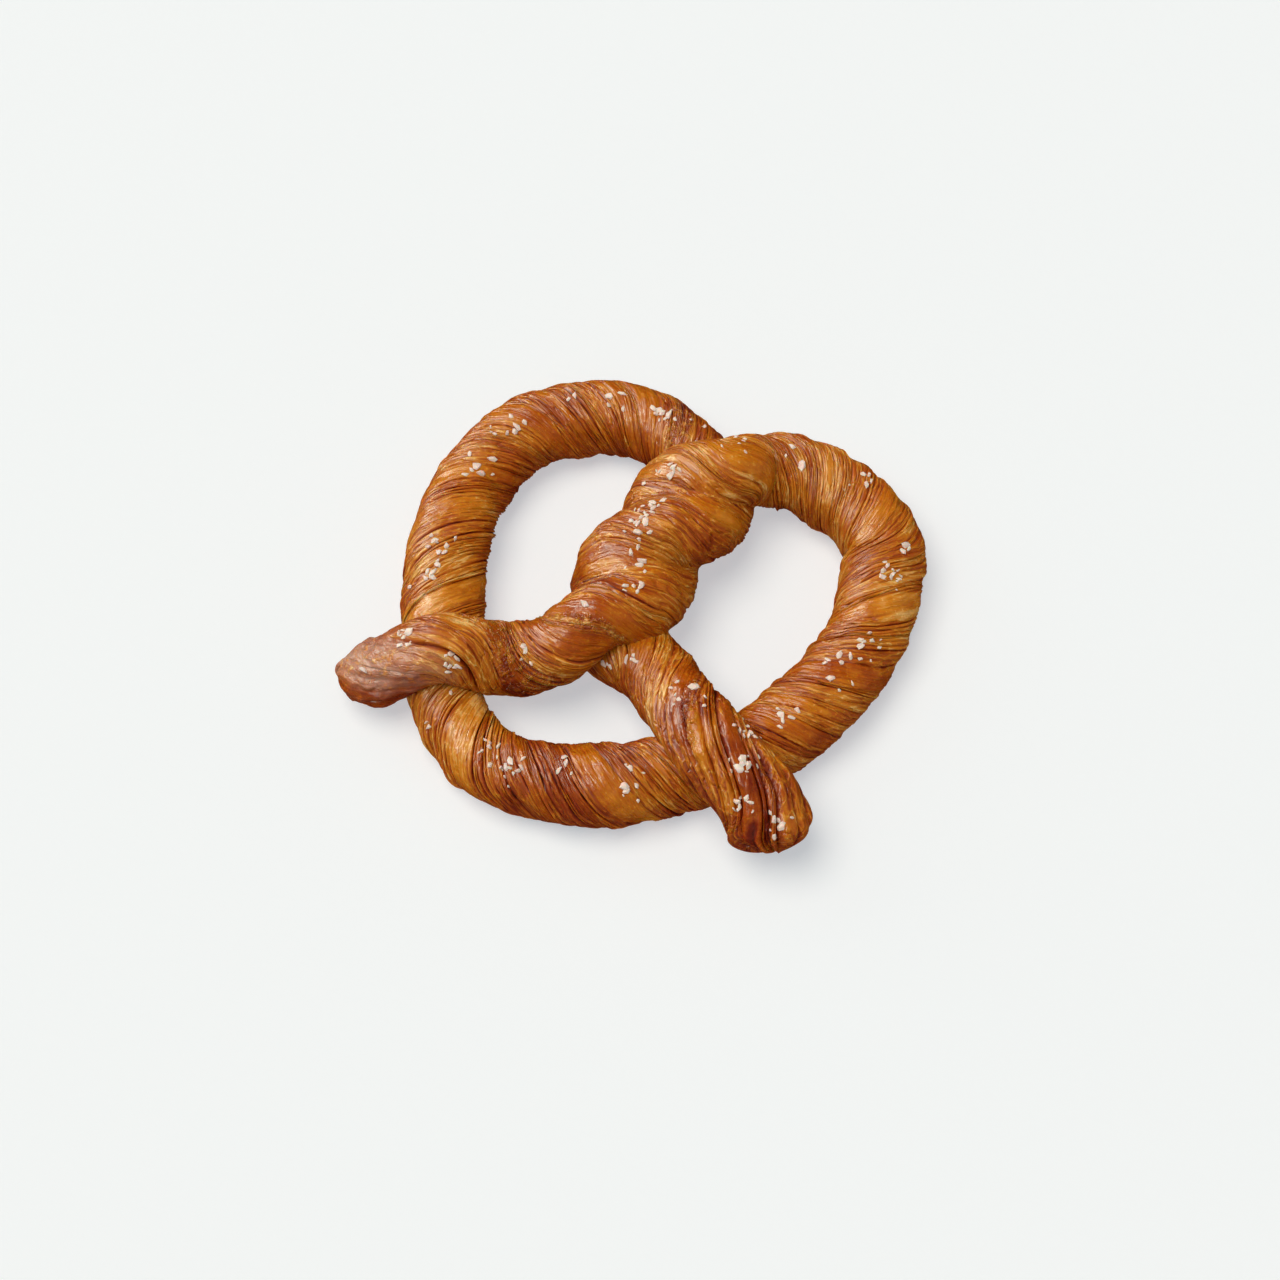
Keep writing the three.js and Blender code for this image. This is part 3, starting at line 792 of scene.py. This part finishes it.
def scatter(landed, draws, sizes, more, wider):
    """Add each heap's grains that land on bare crust: more times its number, wider times its spread."""
    for heap_x, heap_y, count, spread in SALT_HEAPS:
        for _ in range(round(more * count)):
            x, y = (
                (heap - middle + wider * spread * (next(draws) + next(draws) - 1)) * MM
                for heap, middle in zip((heap_x, heap_y), PLAN_MIDDLE)
            )
            length = sizes[0] + (sizes[1] - sizes[0]) * next(draws) ** FEW_LARGE
            width, height = (low + (high - low) * next(draws) for low, high in (GRAIN_WIDTH, GRAIN_HEIGHT))
            spin = 2 * math.pi * next(draws)
            chips = [next(draws) - 0.5 for _ in range(2 * GRAIN_CORNERS)]
            hit, facing, _, _ = crust_tree.ray_cast(Vector((x, y, ABOVE_ALL)), Vector((0, 0, -1)))
            if hit is None or facing.z < GRAIN_STEEPEST:
                continue
            if clear_of(landed, hit, length):
                landed.append((hit, facing, Vector((1, width, height)) * length * MM, spin, chips))


crust_tree = BVHTree.FromObject(crust, bpy.context.evaluated_depsgraph_get())
grains = []
scatter(grains, seeded(SALT_SEED), GRAIN_SIZES, more=1, wider=1)
scatter(grains, seeded(CHIP_SEED), CHIP_SIZES, more=0.9, wider=1.5)
print(len(grains), "grains")

# %% [markdown]
# A grain could be a cube with a bevel, but broken salt has no two corners alike. Each one here is the
# convex hull of a few points spread over a ball, every point pushed in or out by its own draw.

# %% Make the grains
GRAIN_SUNK = 0.48  # the share of a grain below the crust
CORNER_SHIFT, CORNER_DEPTH = 0.5, 0.5  # how far its corners move up or down, and in or out
GOLDEN_TURN = math.pi * (3 - math.sqrt(5))  # spreads the corners evenly over a ball


def add_grain(salt, at, facing, edges, spin, chips):
    """A broken lump of these edges, laid on the crust at a place, facing as the crust does there."""
    lump = bmesh.new()
    for k in range(GRAIN_CORNERS):
        z = 1 - 2 * (k + 0.5) / GRAIN_CORNERS + CORNER_SHIFT * chips[2 * k] / GRAIN_CORNERS
        level = math.sqrt(max(0, 1 - z * z))
        angle = GOLDEN_TURN * k + chips[2 * k]
        out = 0.5 * (1 + CORNER_DEPTH * chips[2 * k + 1])
        lump.verts.new((out * level * math.cos(angle), out * level * math.sin(angle), out * z))
    hull = bmesh.ops.convex_hull(lump, input=lump.verts)
    bmesh.ops.delete(lump, geom=[v for v in hull["geom_interior"] if v.is_valid], context="VERTS")
    lean = Vector((0, 0, 1)).rotation_difference(facing) @ Quaternion((0, 0, 1), spin)
    for v in lump.verts:
        v.co.z += 0.5 - GRAIN_SUNK
        v.co = at + lean @ Vector([a * b for a, b in zip(v.co, edges)])
    grain_mesh = bpy.data.meshes.new("grain")
    lump.to_mesh(grain_mesh)
    lump.free()
    salt.from_mesh(grain_mesh)
    bpy.data.meshes.remove(grain_mesh)


salt_shape = bmesh.new()
for grain in grains:
    add_grain(salt_shape, *grain)
bmesh.ops.triangulate(salt_shape, faces=salt_shape.faces[:])
salt_mesh = bpy.data.meshes.new("pretzel_salt")
salt_shape.to_mesh(salt_mesh)
salt_shape.free()
salt = bpy.data.objects.new("pretzel_salt", salt_mesh)
scene.collection.objects.link(salt)
dressed.objects.link(salt)
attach(salt, "root")
print("salt has", len(salt_mesh.polygons), "faces")

# %% [markdown]
# A material is a graph of nodes, and wiring a graph by hand hides its sums. The first class below wraps an
# output, so that a sum can be written as a sum: each operator adds the Math node that works it out. The
# second holds a material, and all its nodes come from one method.


# %% Sums of outputs
class Wire:
    """An output of a node that can be used in sums."""

    def __init__(self, finish, socket):
        self.finish, self.socket = finish, socket

    def math(self, operation, *values, clamp=False):
        settings = {"operation": operation, "use_clamp": clamp}
        return self.finish.node("ShaderNodeMath", settings, dict(enumerate(values)))

    def __add__(self, other):
        return self.math("ADD", self, other)

    def __sub__(self, other):
        return self.math("SUBTRACT", self, other)

    def __rsub__(self, other):
        return self.math("SUBTRACT", other, self)

    def __mul__(self, other):
        return self.math("MULTIPLY", self, other)

    def clamped(self):
        return self.math("ADD", self, 0, clamp=True)

    __radd__, __rmul__ = __add__, __mul__


# %% One material
class Finish:
    """A material whose nodes are added one call at a time."""

    def __init__(self, name):
        self.material = bpy.data.materials.new(name)
        self.material.use_nodes = True
        self.tree = self.material.node_tree
        self.shader = self.tree.nodes["Principled BSDF"]

    def feed(self, socket, value):
        if isinstance(value, Wire):
            self.tree.links.new(value.socket, socket)
        else:
            socket.default_value = value

    def node(self, kind, settings=None, values=None, output=0):
        """One node of any kind: its settings first, then the values or links of its sockets."""
        made = self.tree.nodes.new(kind)
        for name, setting in (settings or {}).items():
            if name == "stops":
                while len(made.color_ramp.elements) < len(setting):
                    made.color_ramp.elements.new(1)
                for element, (position, colour) in zip(made.color_ramp.elements, setting):
                    element.position = position
                    element.color = (*colour, 1)
            else:
                setattr(made, name, setting)
        for name, value in (values or {}).items():
            self.feed(made.inputs[name], value)
        return Wire(self, made.outputs[output])

    def attribute(self, name, output="Fac"):
        return self.node("ShaderNodeAttribute", {"attribute_name": name}, output=output)

    def noise(self, vector, scale, detail=2.0, roughness=0.5):
        sockets = {"Vector": vector, "Scale": scale, "Detail": detail, "Roughness": roughness}
        return self.node("ShaderNodeTexNoise", None, sockets, "Fac")

    def step(self, value, low, high):
        """0 below low, 1 above high, soft between."""
        settings = {"interpolation_type": "SMOOTHSTEP"}
        return self.node("ShaderNodeMapRange", settings, {"Value": value, "From Min": low, "From Max": high})

    def mix(self, share, first, second):
        return self.node("ShaderNodeMix", {"data_type": "RGBA"}, {0: share, 6: first, 7: second}, 2)

    def surface(self, **values):
        for name, value in values.items():
            self.feed(self.shader.inputs[name.replace("_", " ")], value)


def rgb(code):
    """A colour as the renderer needs it, from the six digits that a picture shows."""
    parts = [int(code[k:k + 2], 16) / 255 for k in (0, 2, 4)]
    return [p / 12.92 if p <= 0.04045 else ((p + 0.055) / 1.055) ** 2.4 for p in parts]


# %% [markdown]
# The crust is never one colour. Fibres, streaks and pale edges run along the layers, so their noise is
# drawn on the strand before it was twisted. Blotches, wrinkles, flakes and crumbs have no grain, so theirs
# is drawn in plain space. An image could give all this at once, but it would have a seam somewhere.

# %% Patterns of the crust
bake = Finish("crust")
straight_at = bake.attribute("straight", "Vector")
skin_share = bake.attribute("skin")
groove_shade = bake.attribute("groove")
layer_tint = bake.attribute("tint")
dull_share = bake.attribute("dull")
flaky_share = bake.attribute("flaky")
object_at = bake.node("ShaderNodeTexCoord", output="Object")


def layer_noise(across, along, detail=2.0):
    """Noise that follows the layers, with features of these sizes in millimetres."""
    scale = (1 / across, 1 / across, 1 / along)
    at = bake.node("ShaderNodeVectorMath", {"operation": "MULTIPLY"}, {0: straight_at, 1: scale})
    return bake.noise(at, 1, detail)


def creases(pattern, width):
    """Thin lines where a noise crosses its middle value."""
    from_middle = bake.node("ShaderNodeMath", {"operation": "ABSOLUTE"}, {0: pattern - 0.5})
    return 1 - bake.step(from_middle, 0, width)


layers = 1 - skin_share
streaks = layer_noise(across=3, along=8, detail=3)
wide_creases = creases(layer_noise(across=3.6, along=8), width=0.05)
pale_edges = creases(layer_noise(across=2.2, along=5), width=0.07)
fibres = layer_noise(across=1, along=2.5)
puckers = layer_noise(across=2, along=5, detail=1.5)
sheen_haze = bake.step(layer_noise(across=5, along=16), low=0.35, high=0.65)
blotches = bake.noise(object_at, scale=60, detail=3)
wrinkles = bake.noise(object_at, scale=280, detail=3)
specks = bake.noise(object_at, scale=900, detail=3)
crumple = creases(wrinkles, width=0.16)
flecks = bake.step(specks, low=0.58, high=0.7)
crumbs = bake.step(bake.noise(object_at, scale=460, detail=4, roughness=0.6), low=0.5, high=0.66)
flakes = bake.step(bake.noise(object_at, scale=520, detail=4, roughness=0.6), low=0.45, high=0.65)
print("crust patterns have", len(bake.tree.nodes), "nodes")

# %% [markdown]
# Baked dough goes from gold through orange-brown to a dark red-brown, and how dark it is is one number.
# The grooves, creases and flanks get painted shade in it and raised edges a painted highlight, each layer
# has its own tint, and slow blotches run over all of them. A ramp turns that number into colour. The left
# tip's dull skin gets a greyish pink mixed in afterwards, partly its own colour and partly painted sheen.

# %% Crust colour
MEAN_BROWNING = 0.375
CRUST_STOPS = [
    (0.04, rgb("e8b466")),
    (0.24, rgb("ca7a12")),
    (0.46, rgb("aa4e02")),
    (0.68, rgb("7c2000")),
    (0.95, rgb("3e0600")),
]
# the left tip's dull skin, partly its own colour and partly a painted sheen
DULL_SHEEN_COLOUR = (*rgb("c69a80"), 1)

darkness = (
    MEAN_BROWNING
    # patch and oven browning, with painted shade on the flanks
    + bake.attribute("browned")
    + 0.5 * (blotches - 0.5)
    + 0.26 * (layer_tint - 0.5) * layers
    + (0.42 * (streaks - 0.5) + 0.22 * (fibres - 0.5)) * (1 - 0.55 * skin_share)
    + 0.3 * (wrinkles - 0.5) * skin_share
    # painted shade in the wide creases, painted highlight on the raised pale edges
    + (0.06 * wide_creases - 0.18 * pale_edges) * (0.3 + 0.7 * layers)
    - 0.12 * flecks
    + (0.07 - 0.24 * flakes) * flaky_share
    - 0.34 * crumbs * dull_share
    # painted shade in the grooves, painted highlight on the crests
    + 0.36 * groove_shade
).clamped()
glazed_colour = bake.node("ShaderNodeValToRGB", {"stops": CRUST_STOPS}, {"Fac": darkness})
# mixed in on the dull left tip, most where the haze noise is high: partly its own colour, partly painted
# sheen
dull_sheen_mix = (0.4 + 0.25 * sheen_haze) * dull_share * (1 - 0.6 * crumbs)
crust_colour = bake.mix(dull_sheen_mix, glazed_colour, DULL_SHEEN_COLOUR)
bake.surface(Base_Color=crust_colour)
print("crust colours:", len(CRUST_STOPS), "stops")

# %% [markdown]
# The glaze dries to a satin shine, a little glossier on the skin and duller in the grooves. A coat layer
# would shine everywhere alike, so the roughness carries it. Relief too fine for the mesh is a bump. Light
# also enters the crust and comes out again, mostly as red, which keeps thin edges warm.

# %% Crust gloss and bump
BUMP_DISTANCE = 0.9 * MM
GLAZE = 0.34  # strength of the crust's reflection
CRUST_DEPTH, DEPTH_BY_COLOUR = 1.6 * MM, (1, 0.35, 0.12)  # how far light travels inside

crust_roughness = (
    0.37
    - 0.07 * skin_share
    + 0.2 * (fibres - 0.5)
    + 0.15 * groove_shade
    + 0.1 * (specks - 0.5)
    + 0.12 * dull_share
)
crust_height = (
    0.08 * fibres
    + 0.08 * specks * layers
    + (0.2 * pale_edges - 0.3 * wide_creases) * (0.2 + 0.8 * layers)
    + (0.6 * puckers + 0.15 * wrinkles - 0.06 * crumple) * skin_share
    + 0.7 * flakes * flaky_share
    + 0.25 * crumbs * dull_share
)
bump_sockets = {"Strength": 1, "Distance": BUMP_DISTANCE, "Height": crust_height}
crust_normal = bake.node("ShaderNodeBump", None, bump_sockets, "Normal")
bake.surface(Roughness=crust_roughness, Normal=crust_normal, Specular_IOR_Level=GLAZE)
bake.surface(Subsurface_Weight=0.45, Subsurface_Scale=CRUST_DEPTH, Subsurface_Radius=DEPTH_BY_COLOUR)
joined.materials.clear()
joined.materials.append(bake.material)
print("crust finish has", len(bake.tree.nodes), "nodes")

# %% [markdown]
# The salt is off-white and a little see-through at its edges. Subsurface scattering gives that softness.
# The table is a plain pale sheet, and a faint glow of its own fills the shadows, as light from a whole room
# would.

# %% Salt and table finishes
SALT_PALE, SALT_DARK = (*rgb("ecd6c6"), 1), (*rgb("d8b8a2"), 1)
SALT_DEPTH = 1.5 * MM
TABLE_LIT, TABLE_GLOW = 0.72, 0.504

white = Finish("salt")
salt_specks = white.noise(white.node("ShaderNodeTexCoord", output="Object"), scale=900)
salt_colour = white.mix(salt_specks, SALT_PALE, SALT_DARK)
white.surface(Base_Color=salt_colour, Roughness=0.4 + 0.3 * salt_specks, Specular_IOR_Level=0.3)
white.surface(Subsurface_Weight=0.3, Subsurface_Scale=SALT_DEPTH)
salt_mesh.materials.append(white.material)

pale = Finish("table")
pale.surface(Base_Color=(*[TABLE_LIT * c for c in rgb("f2eade")], 1), Roughness=0.9)
pale.surface(Emission_Color=(*rgb("ebf4fb"), 1), Emission_Strength=TABLE_GLOW)
table_mesh.materials.append(pale.material)
print("finishes:", [m.name for m in bpy.data.materials])
